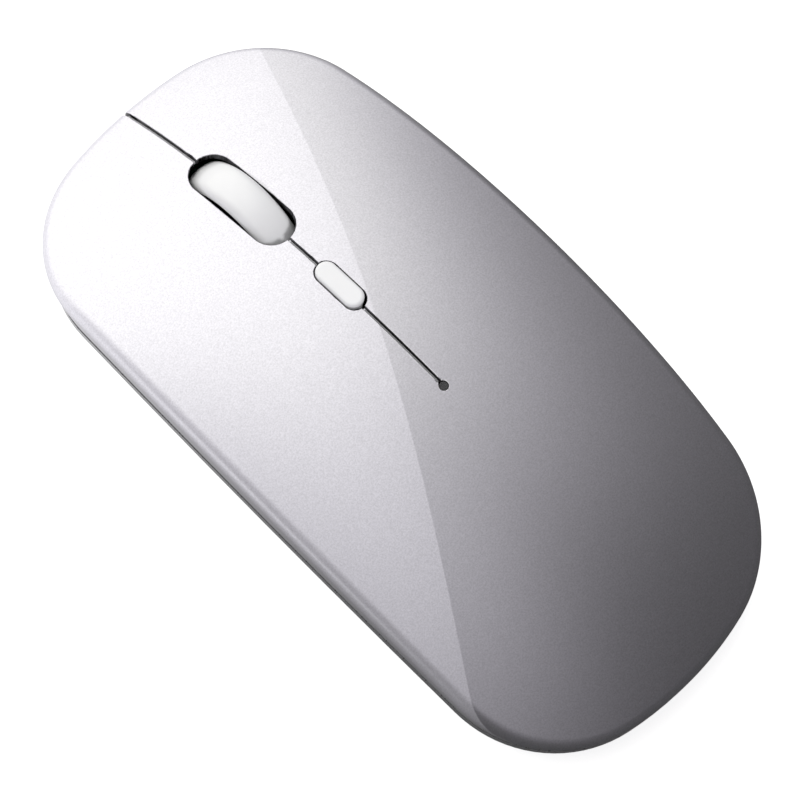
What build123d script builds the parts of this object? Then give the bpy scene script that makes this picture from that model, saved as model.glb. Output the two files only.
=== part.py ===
from build123d import *
from math import cos, radians, sin
import os

# Computer mouse, slim wireless type. Millimetres, +Z up, +Y towards the nose, +X to the user's right.
# The origin is at the middle of the footprint, on the surface that the mouse glides on.

# ---- Driving dimensions: outline of the case at the parting line (tangent arcs, nose to tail) ----
NOSE_Y = 55.3                  # foremost point of the outline
NOSE_R, NOSE_TURN = 94.6, 6.1  # half of the nose arc: radius, degrees turned
FRONT_R, FRONT_TURN = 17.1, 82.25
SIDE_R, SIDE_TURN = 2220.0, 1.93
REAR_R, REAR_TURN = 19.2, 77.4

# ---- Case section ----
UNDER_Z = 0.6                  # underside, held up by the skates
FLOOR_Z = 1.8                  # top of the base floor
CHAMFER_Z = 1.5                # where the underside's steep chamfer meets the base's flank
STRIP_Z = 3.0                  # lower edge of the bright strip round the base
RIM_Z = 4.4                    # upper edge of the base
COVER_Z = 5.2                  # lower edge of the cover and keys
DRAFT = 0.184                  # how far the cover's wall leans out per mm of height
WALL = 1.5                     # cover and keys
BASE_WALL = 1.6
FLANK_Z = 3.2                  # foot of the base's upright inner wall
EDGE_R = 2.4                   # round between the cover's top and wall
CROWN = [9.8, 31.2, 23.6, 28.3, 4.5]   # control heights along the spine, nose to tail
CROWN_SPAN = 60.0              # the control heights run from +span to -span in Y
CROSS_R = 71.5                 # radius of the top across the mouse
CROSS_SPAN = 40.0              # the top surface is drawn this far to each side
UNDER_INSET, CHAMFER_INSET = 2.7, 1.0

# ---- Keys ----
KEY_HINGE_Y = -4.9             # flexure line, where the keys leave the palm cover
GROOVE_W = 0.55
TONGUE_DROP, TONGUE_T, TONGUE_ROOT, TONGUE_GAP = 0.7, 0.6, 0.3, 0.15   # under the groove, on the left key
SWITCH_X, SWITCH_Y = 16.0, 39.4
RIB_HALF_X, RIB_HALF_Y = 1.6, 1.0   # the rib inside a key that presses its switch
RUN_GAP = 0.05                 # gap between a pusher and the plunger that it works

# ---- Wheel ----
SLOT_Y, SLOT_L, SLOT_W = 32.7, 18.2, 6.6
WHEEL_Y, WHEEL_Z, WHEEL_R = 31.4, 13.6, 10.5
WHEEL_HALF = 2.95
SHOULDER = [(0.0, 1.7), (0.42, 0.75), (1.3, 0.25)]   # tyre's shoulder: in from its side, down from its crown
HUB_R, HUB_HALF, HUB_T, WEB_HALF, WEB_LAP, BOSS_R = 8.7, 2.3, 1.2, 0.6, 0.2, 2.6
AXLE_R = 1.25
RING_R = 6.0
RING_SLOTS, RING_SLOT_HALF, RING_SLOT_IN, RING_SLOT_OUT = 24, 0.3, 0.7, 0.5
PIVOT_Y, PIVOT_Z, PIVOT_R = 18.7, 9.0, 1.0

# ---- DPI button and indicator ----
DPI_Y, DPI_L, DPI_W = 13.9, 8.2, 3.2
DPI_GAP = 0.18
DPI_REAR_GAP = 0.42            # wider behind the button, where a pressed key swings towards it
DPI_SWITCH_Y = 13.0
DPI_CAP_Z0, DPI_ROUND, STEM_HALF, STEM_TOP = 19.0, 0.5, 1.2, 20.0
GUIDE_X, GUIDE_Y, GUIDE_LEG, GUIDE_SLEEVE, GUIDE_TOP, GUIDE_FIT = 4.3, 3.8, 1.0, 2.4, 17.0, 0.1
GUIDE_ROOF_Z0, GUIDE_ROOF_Z1 = 1.2, 2.2   # above the switch's plunger
LIGHT_Y, LIGHT_R = -5.9, 0.7
PIPE_FIT, PIPE_FOOT_R, PIPE_FOOT_H, PIPE_LIFT, PIPE_DROP = 0.06, 1.1, 0.8, 1.0, 0.25
PIPE_BOSS_R, PIPE_BOSS_BACK, PIPE_BOSS_Z0 = 1.5, 0.35, 19.0

# ---- Board ----
BOARD_Z, BOARD_T = 3.2, 1.0
BOARD_TOP = BOARD_Z + BOARD_T
SENSOR_Y = 1.5
PORT_Z, PORT_W, PORT_H, PORT_L, PORT_MOUTH_Y = 5.8, 8.94, 3.2, 7.3, 54.5
PORT_SHEET = 0.3
PORT_SIDE_GAP, PORT_TOP_GAP, PORT_CUT_Y = 0.8, 1.0, 4.0    # the cover's opening round the socket
NOTCH_SIDE_GAP, NOTCH_UNDER_GAP, NOTCH_CUT_Y = 0.2, 0.1, 8.0    # the base's notch for the socket
BLADE_HALF, BLADE_HALF_T, BLADE_BACK = 3.35, 0.35, 0.8
ROOT_HALF, ROOT_HALF_T, ROOT_L = 3.8, 0.9, 1.6
POWER_Y = -7.5
POWER_HALF_X, POWER_HALF_Y = 4.35, 1.85
POWER_WELL_X, POWER_WELL_Y = 2.0, 0.7
KNOB_HALF_X, KNOB_HALF_Y, KNOB_SUNK = 0.85, 0.6, 0.15
KNOB_RIB_PITCH, KNOB_RIB_HALF, KNOB_RIB_H = 0.5, 0.08, 0.15
KNOB_SLOT_X, KNOB_SLOT_Y = 2.3, 0.9        # slot in the base's floor
KNOB_DISH_X, KNOB_DISH_Y, KNOB_DISH_T = 4.0, 2.2, 0.4
KNOB_TRAVEL = 2.0

# ---- Receiver bay and battery ----
BAY_HALF_W, BAY_REAR_Y, BAY_MID_Y, BAY_ROOF_Z = 7.6, -47.5, -28.0, 6.6
TUNNEL_HALF_W, TUNNEL_FRONT_Y, TUNNEL_Z0, TUNNEL_Z1 = 6.2, -15.2, 1.2, 6.2
BAY_WALL = 1.0
BAY_GAP = 0.2                  # between the stored receiver's shoulder and the bay's step
CAP_W, CAP_L, CAP_Z0, CAP_Z1 = 14.4, 7.0, 1.0, 6.2
CAP_ROUND, CAP_CHAMFER = 1.2, 0.4
PLUG_W, PLUG_H, PLUG_L = 12.0, 4.5, 12.0
SLEEVE_T, SLEEVE_BACK, SLEEVE_ROUND = 0.3, 0.8, 0.35
WINDOW_X, WINDOW_HALF, WINDOW_Y0, WINDOW_Y1 = 3.0, 1.2, 5.0, 7.2   # latch windows in the plug
CELL_HALF_W, CELL_Y0, CELL_Y1, CELL_Z0, CELL_T, CELL_ROUND = 14.5, -39.0, -9.5, 8.2, 4.5, 1.4
TAPE_REAR, TAPE_FRONT = 3.0, 8.0           # how far the tape stays inside the cell's ends
CELL_BOARD_HALF, CELL_BOARD_Y0, CELL_BOARD_Y1, CELL_BOARD_Z0, CELL_BOARD_Z1 = 10.0, 0.1, 0.9, 0.5, 3.7
TAB_X, TAB_HALF, TAB_T, TAB_FOOT, TAB_TOP = 8.2, 1.2, 0.2, 1.6, 3.0

# ---- Fasteners ----
CASE_POSTS = [(19.5, -13.0), (-19.5, -13.0), (16.5, -43.0), (-16.5, -43.0)]
BOARD_POSTS = [(17.2, 22.0), (-17.2, 22.0), (17.2, -8.0), (-17.2, -8.0)]
POST_R, SCREW_R, HEAD_R, HEAD_T = 2.8, 1.0, 1.9, 1.4
BOARD_POST_R, BOARD_SCREW_R, BOARD_HEAD_R = 2.0, 0.9, 1.7
POST_TOP = 6.2
THREAD_L = 4.5
BITE, SHANK_GAP, HEAD_GAP, BORE_END = 0.02, 0.1, 0.15, 0.3
BOARD_BORE_GAP, BOARD_HOLE_GAP, SCREW_SUNK = 0.02, 0.2, 0.2
BOARD_BORE_Z = FLOOR_Z - 0.4
CROSS_HALF, CROSS_HALF_T, CROSS_DEPTH = 1.1, 0.25, 0.7
ROOTED = 0.5                   # how deep posts and walls root in the floor under them

# ---- Switches: x, y, width, length, body height, plunger width and length, plunger stand ----
SWITCHES = {
    "left_switch": (-SWITCH_X, SWITCH_Y, 5.8, 12.8, 6.5, 1.2, 2.4, 0.6),
    "right_switch": (SWITCH_X, SWITCH_Y, 5.8, 12.8, 6.5, 1.2, 2.4, 0.6),
    "middle_switch": (9.9, WHEEL_Y, 6.0, 6.0, 4.4, 2.8, 2.8, 0.7),
    "dpi_switch": (0.0, DPI_SWITCH_Y, 6.0, 6.0, 3.6, 2.8, 2.8, 0.6),
}


def plunger_top(name):
    """Height of a switch's plunger above the underside of the mouse, at rest."""
    height, stand = SWITCHES[name][4], SWITCHES[name][7]
    return BOARD_TOP + height + stand


SWITCH_TOP, DPI_PLUNGER_TOP = plunger_top("left_switch"), plunger_top("dpi_switch")
LUG_Z0 = plunger_top("middle_switch") + RUN_GAP   # underside of the cradle's pusher
SWITCH_POCKET, PLUNGER_SUNK, PLUNGER_FIT = 1.8, 0.9, 0.08
SWITCH_CHAMFER, PLUNGER_ROUND = 0.3, 0.2
LIP_T, LIP_Z, PALM_LIP_GAP, KEY_LIP_GAP, LIP_ROOT, LIP_STEP_Y = 0.8, 6.2, 0.15, 0.6, 0.4, 1.0

# ---- Wheel carrier ----
CRADLE_X0, CRADLE_X1, PIVOT_X0 = 6.9, 8.1, 8.4
EAR_T, EAR_R = 2.0, 1.9
BAR_HALF, ARM_REACH_Y, ARM_FRONT, ARM_TOP, ARM_HEAD = 1.3, 7.3, 2.6, 1.5, 2.4
LUG_END, LUG_HALF, LUG_T, PIN_ROOT = 12.2, 2.2, 1.2, 0.2
RING_X0, RING_X1, RING_MID_R = 4.6, 5.0, 5.0
DETENT_X0, DETENT_X1, DETENT_R = -5.4, -3.8, 5.4
NOTCH_R, NOTCH_OUT = 0.45, 0.1
LEAF_GAP, LEAF_T, LEAF_IN, LEAF_END = 0.12, 0.2, 0.2, 2.5
SPRING_WIRE, SPRING_R, SPRING_X, SPRING_TURNS, SPRING_GAP = 0.4, 1.8, -10.0, 6, 0.05
EYE_RING_GAP, EYE_SIDE_GAP, EYE_HALF, EYE_OVER, EYE_LENS_R, EYE_LENS_OUT = 0.3, 0.4, 1.6, 1.0, 0.6, 0.1

# ---- Skates, label, small features ----
SKATE_INSETS = {1: (6.5, 10.5), -1: (4.0, 7.2)}
SKATE_HALF, SKATE_ROUND, SKATE_POCKET, SKATE_FIT = 13.0, 1.2, 0.3, 0.1
LABEL_W, LABEL_L, LABEL_Y, LABEL_ROUND, LABEL_T = 24.0, 16.0, 27.0, 1.5, 0.1
BOARD_HALF_W, BOARD_Y0, BOARD_Y1, BOARD_CORNER = 19.6, -12.0, 50.0, 6.0
WHEEL_CUT_X, WHEEL_CUT_Y, EAR_CUT_X, EAR_CUT_Y, POST_CUT = 0.3, 6.5, 0.25, 0.3, 0.3
PORT_BACK = 0.8
SENSOR_W, SENSOR_L, SENSOR_H, SENSOR_HOLE_R = 9.0, 9.6, 2.6, 2.9
SENSOR_LEGS, SENSOR_PITCH, LEG_OUT, LEG_HALF, LEG_H = 4, 1.78, 0.9, 0.25, 1.5
PLATE_X, PLATE_Y, PLATE_T, SEAT_GAP = 5.5, 4.0, 0.75, 0.05
SENSOR_CUT_X, SENSOR_CUT_Y = 3.2, 2.2
PANE_X, PANE_Y, PANE_UP, BARREL_R = 3.1, 2.1, 0.3, 2.6
CHIP_CHAMFER = 0.12
CHIPS = {                      # x, y, width, length, height
    "radio_controller": (-13.0, 8.0, 5.0, 5.0, 0.8),
    "charge_controller": (12.0, 8.0, 3.0, 3.0, 0.8),
    "crystal": (-13.0, 14.0, 3.2, 2.5, 0.7),
    "status_led": (0.0, LIGHT_Y, 1.6, 0.8, 0.7),
}
KNOB_TOP = FLOOR_Z + 0.8
DPI_PROUD = 0.5

TALL = 40.0                    # taller than the mouse, for cutting tools
OVER = 1.0                     # how far a cutting tool runs past what it cuts


# ---------------------------------------------------------------- helpers
def block(x0, x1, y0, y1, z0, z1):
    """A box between two corners."""
    return Pos((x0 + x1) / 2, (y0 + y1) / 2, (z0 + z1) / 2) * Box(x1 - x0, y1 - y0, z1 - z0)


def post(x, y, r, z0, z1):
    """An upright cylinder."""
    return Pos(x, y, (z0 + z1) / 2) * Cylinder(r, z1 - z0)


def rod_x(r, x0, x1, y, z):
    """A cylinder along X."""
    return Pos((x0 + x1) / 2, y, z) * Rot(0, 90, 0) * Cylinder(r, x1 - x0)


def pill(length, width, y, z0, z1, x=0.0):
    """An upright prism with a stadium outline, long in Y."""
    outline = SlotOverall(length, width, rotation=90)
    return extrude(Pos(x, y, z0) * outline, z1 - z0)


def outline_arcs(inset):
    """Corner points and mid points of the outline's arcs, right half, nose to tail."""
    points = [(0.0, NOSE_Y - inset)]
    mids = []
    x, y, heading = 0.0, NOSE_Y, 0.0
    arcs = [(NOSE_R, NOSE_TURN), (FRONT_R, FRONT_TURN), (SIDE_R, SIDE_TURN), (REAR_R, REAR_TURN)]
    for radius, turn in arcs:
        cx, cy = x - radius * sin(heading), y - radius * cos(heading)
        middle, heading = heading + radians(turn) / 2, heading + radians(turn)
        mids.append((cx + (radius - inset) * sin(middle), cy + (radius - inset) * cos(middle)))
        points.append((cx + (radius - inset) * sin(heading), cy + (radius - inset) * cos(heading)))
        x, y = cx + radius * sin(heading), cy + radius * cos(heading)
    tail_r = x / sin(heading)
    tail = (0.0, y - tail_r * cos(heading) - (tail_r - inset))
    return points, mids, tail


def outline(inset, z):
    """The closed outline, moved in by inset, at height z."""
    points, mids, tail = outline_arcs(inset)
    corners = points[1:]
    left = [(-px, py) for px, py in reversed(corners)]
    left_mids = [(-px, py) for px, py in reversed(mids[1:])]
    ring = corners + left
    middles = mids[1:] + [tail] + left_mids + [points[0]]
    edges = [ThreePointArc((*ring[i], z), (*middles[i], z), (*ring[(i + 1) % len(ring)], z))
             for i in range(len(ring))]
    return Wire(edges)


def under_crown(drop):
    """Everything below the cover's top surface, lowered by drop."""
    half = CROSS_SPAN
    bulge = half * half / (2 * CROSS_R)
    step = 2 * CROWN_SPAN / (len(CROWN) - 1)
    grid = [[(x, CROWN_SPAN - j * step, z - drop + rise) for j, z in enumerate(CROWN)]
            for x, rise in ((-half, -bulge), (0, bulge), (half, -bulge))]
    top = Face.make_bezier_surface([[Vector(*p) for p in row] for row in grid])
    return Solid.extrude(top, Vector(0, 0, -TALL))


def case_volume(inset, drop, z0=COVER_Z):
    """The case's outer form from z0 up, moved in by inset and down by drop."""
    z1 = TALL - COVER_Z
    low = outline(inset - DRAFT * (z0 - COVER_Z), z0)
    high = outline(inset - DRAFT * (z1 - COVER_Z), z1)
    return Solid.make_loft([low, high], ruled=True) & under_crown(drop)


def stack(levels):
    """A solid through the outline at several (inset, z) levels."""
    return Solid.make_loft([outline(inset, z) for inset, z in levels], ruled=True)


OUTER = case_volume(0, 0)
INNER = case_volume(WALL, WALL)


def rounded_outer():
    """The case's outer form with its top edge rounded."""
    upright = 0.9
    above_foot = [e for e in OUTER.edges() if e.bounding_box().min.Z > COVER_Z + ROOTED]
    return OUTER.fillet(EDGE_R, [e for e in above_foot if abs(e.tangent_at(0.5).Z) < upright])


SHELL = rounded_outer() - INNER


def inner_top_fill(tool):
    """The part of a tool that lies inside the case, up to the underside of the top."""
    return tool & INNER


# ---------------------------------------------------------------- cover and keys
def key_side(side):
    """The region of one key: one side of the groove, forward of the flexure line."""
    near, far = GROOVE_W / 2, TALL
    x0, x1 = (near, far) if side > 0 else (-far, -near)
    return block(x0, x1, KEY_HINGE_Y, 2 * TALL, 0, TALL)


def palm_cover():
    region = block(-TALL, TALL, -2 * TALL, KEY_HINGE_Y, 0, TALL)
    cover = SHELL & region
    for x, y in CASE_POSTS:
        cover += inner_top_fill(post(x, y, POST_R, POST_TOP, TALL))
    cover += inner_top_fill(post(0, LIGHT_Y - PIPE_BOSS_BACK, PIPE_BOSS_R, PIPE_BOSS_Z0, TALL) & region)
    cover -= block(-GROOVE_W / 2, GROOVE_W / 2, LIGHT_Y, KEY_HINGE_Y, 0, TALL)
    cover -= post(0, LIGHT_Y, LIGHT_R, 0, TALL)
    for x, y in CASE_POSTS:
        cover -= post(x, y, SCREW_R + BITE, 0, POST_TOP + THREAD_L + BORE_END)
    return cover


def groove_tongue():
    """The left key's tongue, which closes the groove from below and stays clear of the right key."""
    low = TONGUE_DROP + TONGUE_T
    layer = case_volume(TONGUE_DROP, TONGUE_DROP) - case_volume(low, low)
    x0, x1 = -GROOVE_W / 2 - TONGUE_ROOT, GROOVE_W / 2 - TONGUE_GAP
    return layer & block(x0, x1, KEY_HINGE_Y, 2 * TALL, 0, TALL)


def key(side):
    """One main key, with the rib that presses its switch."""
    part = SHELL & key_side(side)
    if side < 0:
        part += groove_tongue()
    rib = block(-RIB_HALF_X, RIB_HALF_X, -RIB_HALF_Y, RIB_HALF_Y, SWITCH_TOP + RUN_GAP, TALL)
    part += inner_top_fill(Pos(side * SWITCH_X, SWITCH_Y, 0) * rib)
    part -= pill(SLOT_L, SLOT_W, SLOT_Y, 0, TALL)
    opening_y = DPI_Y - (DPI_REAR_GAP - DPI_GAP) / 2
    part -= pill(DPI_L + DPI_GAP + DPI_REAR_GAP, DPI_W + 2 * DPI_GAP, opening_y, 0, TALL)
    half = PORT_W / 2 + PORT_SIDE_GAP
    part -= block(-half, half, NOSE_Y - PORT_CUT_Y, TALL * 2, 0, PORT_Z + PORT_H / 2 + PORT_TOP_GAP)
    return part


# ---------------------------------------------------------------- base
def base_outside():
    return stack([(UNDER_INSET, UNDER_Z), (CHAMFER_INSET, CHAMFER_Z), (0, STRIP_Z), (0, RIM_Z)])


def base_inside():
    w = BASE_WALL
    return stack([(UNDER_INSET + w, FLOOR_Z), (w, FLANK_Z), (w, RIM_Z + OVER)])


def lip(gap, y0, y1):
    """The upright lip inside the cover's wall, between two Y positions, gap away from the wall."""
    outer, inner = WALL + gap, WALL + gap + LIP_T
    ring = stack([(WALL, STRIP_Z + LIP_ROOT), (WALL, RIM_Z)]) + stack([(outer, RIM_Z), (outer, LIP_Z)])
    ring -= stack([(inner, STRIP_Z), (inner, LIP_Z + OVER)])
    return ring & block(-TALL, TALL, y0, y1, 0, TALL)


def bay_shell():
    """Walls and roof of the receiver bay, and of the tunnel that takes the plug."""
    w = BAY_WALL
    bay = block(-BAY_HALF_W - w, BAY_HALF_W + w, BAY_REAR_Y - w, BAY_MID_Y + w,
                FLOOR_Z - ROOTED, BAY_ROOF_Z + w)
    tunnel = block(-TUNNEL_HALF_W - w, TUNNEL_HALF_W + w, BAY_MID_Y, TUNNEL_FRONT_Y + w,
                   FLOOR_Z - ROOTED, BAY_ROOF_Z + w)
    return bay + tunnel


def bay_space():
    bay = block(-BAY_HALF_W, BAY_HALF_W, BAY_REAR_Y, BAY_MID_Y, 0, BAY_ROOF_Z)
    tunnel = block(-TUNNEL_HALF_W, TUNNEL_HALF_W, BAY_MID_Y - OVER, TUNNEL_FRONT_Y, TUNNEL_Z0, TUNNEL_Z1)
    return bay + tunnel


def pivot_post(side):
    """Upright ear that holds one pivot of the wheel cradle."""
    x0, x1 = sorted((side * PIVOT_X0, side * (PIVOT_X0 + EAR_T)))
    ear = block(x0, x1, PIVOT_Y - EAR_R, PIVOT_Y + EAR_R, FLOOR_Z, PIVOT_Z)
    ear += rod_x(EAR_R, x0, x1, PIVOT_Y, PIVOT_Z)
    return ear - rod_x(PIVOT_R + RUN_GAP, x0 - OVER, x1 + OVER, PIVOT_Y, PIVOT_Z)


def floor_cuts():
    """Everything that is cut through or into the base's floor."""
    cuts = block(-SENSOR_CUT_X, SENSOR_CUT_X, SENSOR_Y - SENSOR_CUT_Y, SENSOR_Y + SENSOR_CUT_Y, 0, TALL)
    cuts += block(-KNOB_SLOT_X, KNOB_SLOT_X, POWER_Y - KNOB_SLOT_Y, POWER_Y + KNOB_SLOT_Y, 0, TALL)
    cuts += block(-KNOB_DISH_X, KNOB_DISH_X, POWER_Y - KNOB_DISH_Y, POWER_Y + KNOB_DISH_Y,
                  0, UNDER_Z + KNOB_DISH_T)
    for x, y in CASE_POSTS:
        cuts += post(x, y, SCREW_R + SHANK_GAP, 0, TALL) + post(x, y, HEAD_R + HEAD_GAP, 0, FLOOR_Z + HEAD_T)
    for x, y in BOARD_POSTS:
        cuts += post(x, y, BOARD_SCREW_R + BOARD_BORE_GAP, BOARD_BORE_Z, TALL)
    for end in (1, -1):
        cuts += skate(end, UNDER_Z + SKATE_POCKET, SKATE_FIT)
    return cuts


def base_shell():
    base = base_outside() - base_inside()
    step_y = KEY_HINGE_Y - LIP_STEP_Y
    base += lip(PALM_LIP_GAP, -2 * TALL, step_y) + lip(KEY_LIP_GAP, step_y, 2 * TALL)
    base += bay_shell()
    for x, y in CASE_POSTS:
        base += post(x, y, POST_R, FLOOR_Z - ROOTED, POST_TOP)
    for x, y in BOARD_POSTS:
        base += post(x, y, BOARD_POST_R, FLOOR_Z - ROOTED, BOARD_Z)
    base += pivot_post(1) + pivot_post(-1)
    half = PORT_W / 2 + NOTCH_SIDE_GAP
    base -= block(-half, half, NOSE_Y - NOTCH_CUT_Y, TALL * 2, PORT_Z - PORT_H / 2 - NOTCH_UNDER_GAP, TALL)
    return base - bay_space() - floor_cuts()


# ---------------------------------------------------------------- skates and label
def skate(end, top, grow=0.0):
    """A glide pad that follows the nose (end 1) or the tail (end -1), grown to cut its pocket."""
    near, far = SKATE_INSETS[end]
    ring = stack([(near - grow, 0), (near - grow, top)]) - stack([(far + grow, 0), (far + grow, top)])
    half = SKATE_HALF + grow
    y0, y1 = (0, TALL * 2) if end > 0 else (-TALL * 2, 0)
    pad = ring & block(-half, half, y0, y1, 0, top)
    return fillet(pad.edges().filter_by(Axis.Z), SKATE_ROUND)


def rating_label():
    sheet = RectangleRounded(LABEL_W, LABEL_L, LABEL_ROUND)
    return extrude(Pos(0, LABEL_Y, UNDER_Z - LABEL_T) * sheet, LABEL_T)


# ---------------------------------------------------------------- board and what is soldered to it
def main_board():
    corner, xs, y0, y1 = BOARD_CORNER, BOARD_HALF_W, BOARD_Y0, BOARD_Y1
    edge = Polyline((-xs, y0), (xs, y0), (xs, y1 - corner), (xs - corner, y1),
                    (corner - xs, y1), (-xs, y1 - corner), close=True)
    board = extrude(Pos(0, 0, BOARD_Z) * make_face(edge), BOARD_T)
    cut, ear = WHEEL_HALF + WHEEL_CUT_X, EAR_R + EAR_CUT_Y
    board -= block(-cut, cut, WHEEL_Y - WHEEL_CUT_Y, WHEEL_Y + WHEEL_CUT_Y, 0, TALL)
    for side in (1, -1):
        x0, x1 = sorted((side * (PIVOT_X0 - EAR_CUT_X), side * (PIVOT_X0 + EAR_T + EAR_CUT_X)))
        board -= block(x0, x1, PIVOT_Y - ear, PIVOT_Y + ear, 0, TALL)
    board -= post(0, SENSOR_Y, SENSOR_HOLE_R, 0, TALL)
    for x, y in BOARD_POSTS:
        board -= post(x, y, BOARD_SCREW_R + BOARD_HOLE_GAP, 0, TALL)
    for x, y in CASE_POSTS:
        board -= post(x, y, POST_R + POST_CUT, 0, TALL)
    return board


def switch_body(x, y, width, length, height, plunger_w, plunger_l):
    """A push switch on the board, with the pocket that its plunger moves in."""
    top = BOARD_TOP + height
    body = block(x - width / 2, x + width / 2, y - length / 2, y + length / 2, BOARD_TOP, top)
    body = chamfer(body.edges().group_by(Axis.Z)[-1], SWITCH_CHAMFER)
    pw, pl = plunger_w / 2 + PLUNGER_FIT, plunger_l / 2 + PLUNGER_FIT
    return body - block(x - pw, x + pw, y - pl, y + pl, top - SWITCH_POCKET, TALL)


def switch_plunger(x, y, height, plunger_w, plunger_l, stand):
    """The plunger of a push switch, standing proud of its body."""
    top = BOARD_TOP + height + stand
    foot = BOARD_TOP + height - PLUNGER_SUNK
    pin = block(x - plunger_w / 2, x + plunger_w / 2, y - plunger_l / 2, y + plunger_l / 2, foot, top)
    return fillet(pin.edges().group_by(Axis.Z)[-1], PLUNGER_ROUND)


def usb_port_shell():
    """The rolled steel shell of the charging socket, closed at its back."""
    back = PORT_MOUTH_Y - PORT_L
    outer = Plane.XZ.offset(-back) * SlotOverall(PORT_W, PORT_H)
    bore = SlotOverall(PORT_W - 2 * PORT_SHEET, PORT_H - 2 * PORT_SHEET)
    inner = Plane.XZ.offset(-back - PORT_BACK) * bore
    tube = extrude(outer, -PORT_L) - extrude(inner, -PORT_L)
    return Pos(0, 0, PORT_Z) * tube


def usb_port_tongue():
    back = PORT_MOUTH_Y - PORT_L + PORT_BACK
    w, t = BLADE_HALF, BLADE_HALF_T
    blade = block(-w, w, back, PORT_MOUTH_Y - BLADE_BACK, PORT_Z - t, PORT_Z + t)
    w, t = ROOT_HALF, ROOT_HALF_T
    root = block(-w, w, back, back + ROOT_L, PORT_Z - t, PORT_Z + t)
    return blade + root


def chip(x, y, width, length, height):
    body = block(x - width / 2, x + width / 2, y - length / 2, y + length / 2,
                 BOARD_TOP, BOARD_TOP + height)
    return chamfer(body.edges().group_by(Axis.Z)[-1], CHIP_CHAMFER)


def optical_sensor():
    """The tracking sensor's package, with its two rows of legs."""
    body = chip(0, SENSOR_Y, SENSOR_W, SENSOR_L, SENSOR_H)
    for side in (1, -1):
        for i in range(SENSOR_LEGS):
            y = SENSOR_Y + (i - (SENSOR_LEGS - 1) / 2) * SENSOR_PITCH
            x0, x1 = sorted((side * SENSOR_W / 2, side * (SENSOR_W / 2 + LEG_OUT)))
            body += block(x0, x1, y - LEG_HALF, y + LEG_HALF, BOARD_TOP, BOARD_TOP + LEG_H)
    return body


def sensor_lens():
    """The clear lens between the sensor and the desk."""
    z0 = FLOOR_Z + SEAT_GAP
    plate = block(-PLATE_X, PLATE_X, SENSOR_Y - PLATE_Y, SENSOR_Y + PLATE_Y, z0, z0 + PLATE_T)
    pane = block(-PANE_X, PANE_X, SENSOR_Y - PANE_Y, SENSOR_Y + PANE_Y, UNDER_Z + PANE_UP, z0 + SEAT_GAP)
    barrel = post(0, SENSOR_Y, BARREL_R, z0 + SEAT_GAP, BOARD_TOP - SEAT_GAP)
    return plate + pane + barrel


def encoder_eye(x0, x1, bulge):
    """One half of the wheel's light gate: a block on the board, with a lens facing the ring."""
    gate_z = WHEEL_Z - RING_MID_R
    eye = block(x0, x1, WHEEL_Y - EYE_HALF, WHEEL_Y + EYE_HALF, BOARD_TOP, gate_z + EYE_OVER)
    lens_x = x1 if bulge > 0 else x0
    return eye + rod_x(EYE_LENS_R, lens_x - EYE_LENS_OUT, lens_x + EYE_LENS_OUT, WHEEL_Y, gate_z)


def light_pipe():
    """The clear rod that carries the indicator light up to the cover's pin-hole."""
    foot = BOARD_TOP + PIPE_LIFT
    rod = post(0, LIGHT_Y, LIGHT_R - PIPE_FIT, foot, TALL)
    rod += post(0, LIGHT_Y, PIPE_FOOT_R, foot, foot + PIPE_FOOT_H)
    return rod & under_crown(PIPE_DROP)


def power_switch_body():
    x, y = POWER_HALF_X, POWER_HALF_Y
    body = block(-x, x, POWER_Y - y, POWER_Y + y, FLOOR_Z + SEAT_GAP, BOARD_Z)
    x, y = POWER_WELL_X, POWER_WELL_Y
    return body - block(-x, x, POWER_Y - y, POWER_Y + y, 0, KNOB_TOP + RUN_GAP)


def power_switch_knob():
    """The ribbed slider under the mouse, resting at the off end of its slot."""
    x, y, z0 = -KNOB_TRAVEL / 2, KNOB_HALF_Y, UNDER_Z + KNOB_SUNK
    knob = block(x - KNOB_HALF_X, x + KNOB_HALF_X, POWER_Y - y, POWER_Y + y, z0, KNOB_TOP)
    for i in (-1, 0, 1):
        x0 = x + i * KNOB_RIB_PITCH - KNOB_RIB_HALF
        knob -= block(x0, x0 + 2 * KNOB_RIB_HALF, POWER_Y - 2 * y, POWER_Y + 2 * y, 0, z0 + KNOB_RIB_H)
    return knob


# ---------------------------------------------------------------- DPI button
def dpi_button():
    """The DPI button: a domed pill that stands proud of the keys, on a long stem."""
    cap = pill(DPI_L, DPI_W, DPI_Y, DPI_CAP_Z0, TALL) & under_crown(-DPI_PROUD)
    cap = fillet(cap.edges().group_by(Axis.Z)[-1], DPI_ROUND)
    w, y = STEM_HALF, DPI_SWITCH_Y
    return cap + block(-w, w, y - w, y + w, DPI_PLUNGER_TOP + RUN_GAP, STEM_TOP)


def dpi_guide():
    """The tower that keeps the DPI button's stem upright over its switch."""
    x, y, y0, roof = GUIDE_X, GUIDE_Y, DPI_SWITCH_Y, DPI_PLUNGER_TOP + GUIDE_ROOF_Z0
    tower = block(-x, x, y0 - y, y0 + y, BOARD_TOP, DPI_PLUNGER_TOP + GUIDE_ROOF_Z1)
    tower -= block(GUIDE_LEG - x, x - GUIDE_LEG, y0 - y - OVER, y0 + y + OVER, 0, roof)
    w = GUIDE_SLEEVE
    tower += block(-w, w, y0 - w, y0 + w, roof, GUIDE_TOP)
    w = STEM_HALF + GUIDE_FIT
    return tower - block(-w, w, y0 - w, y0 + w, 0, TALL)


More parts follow.
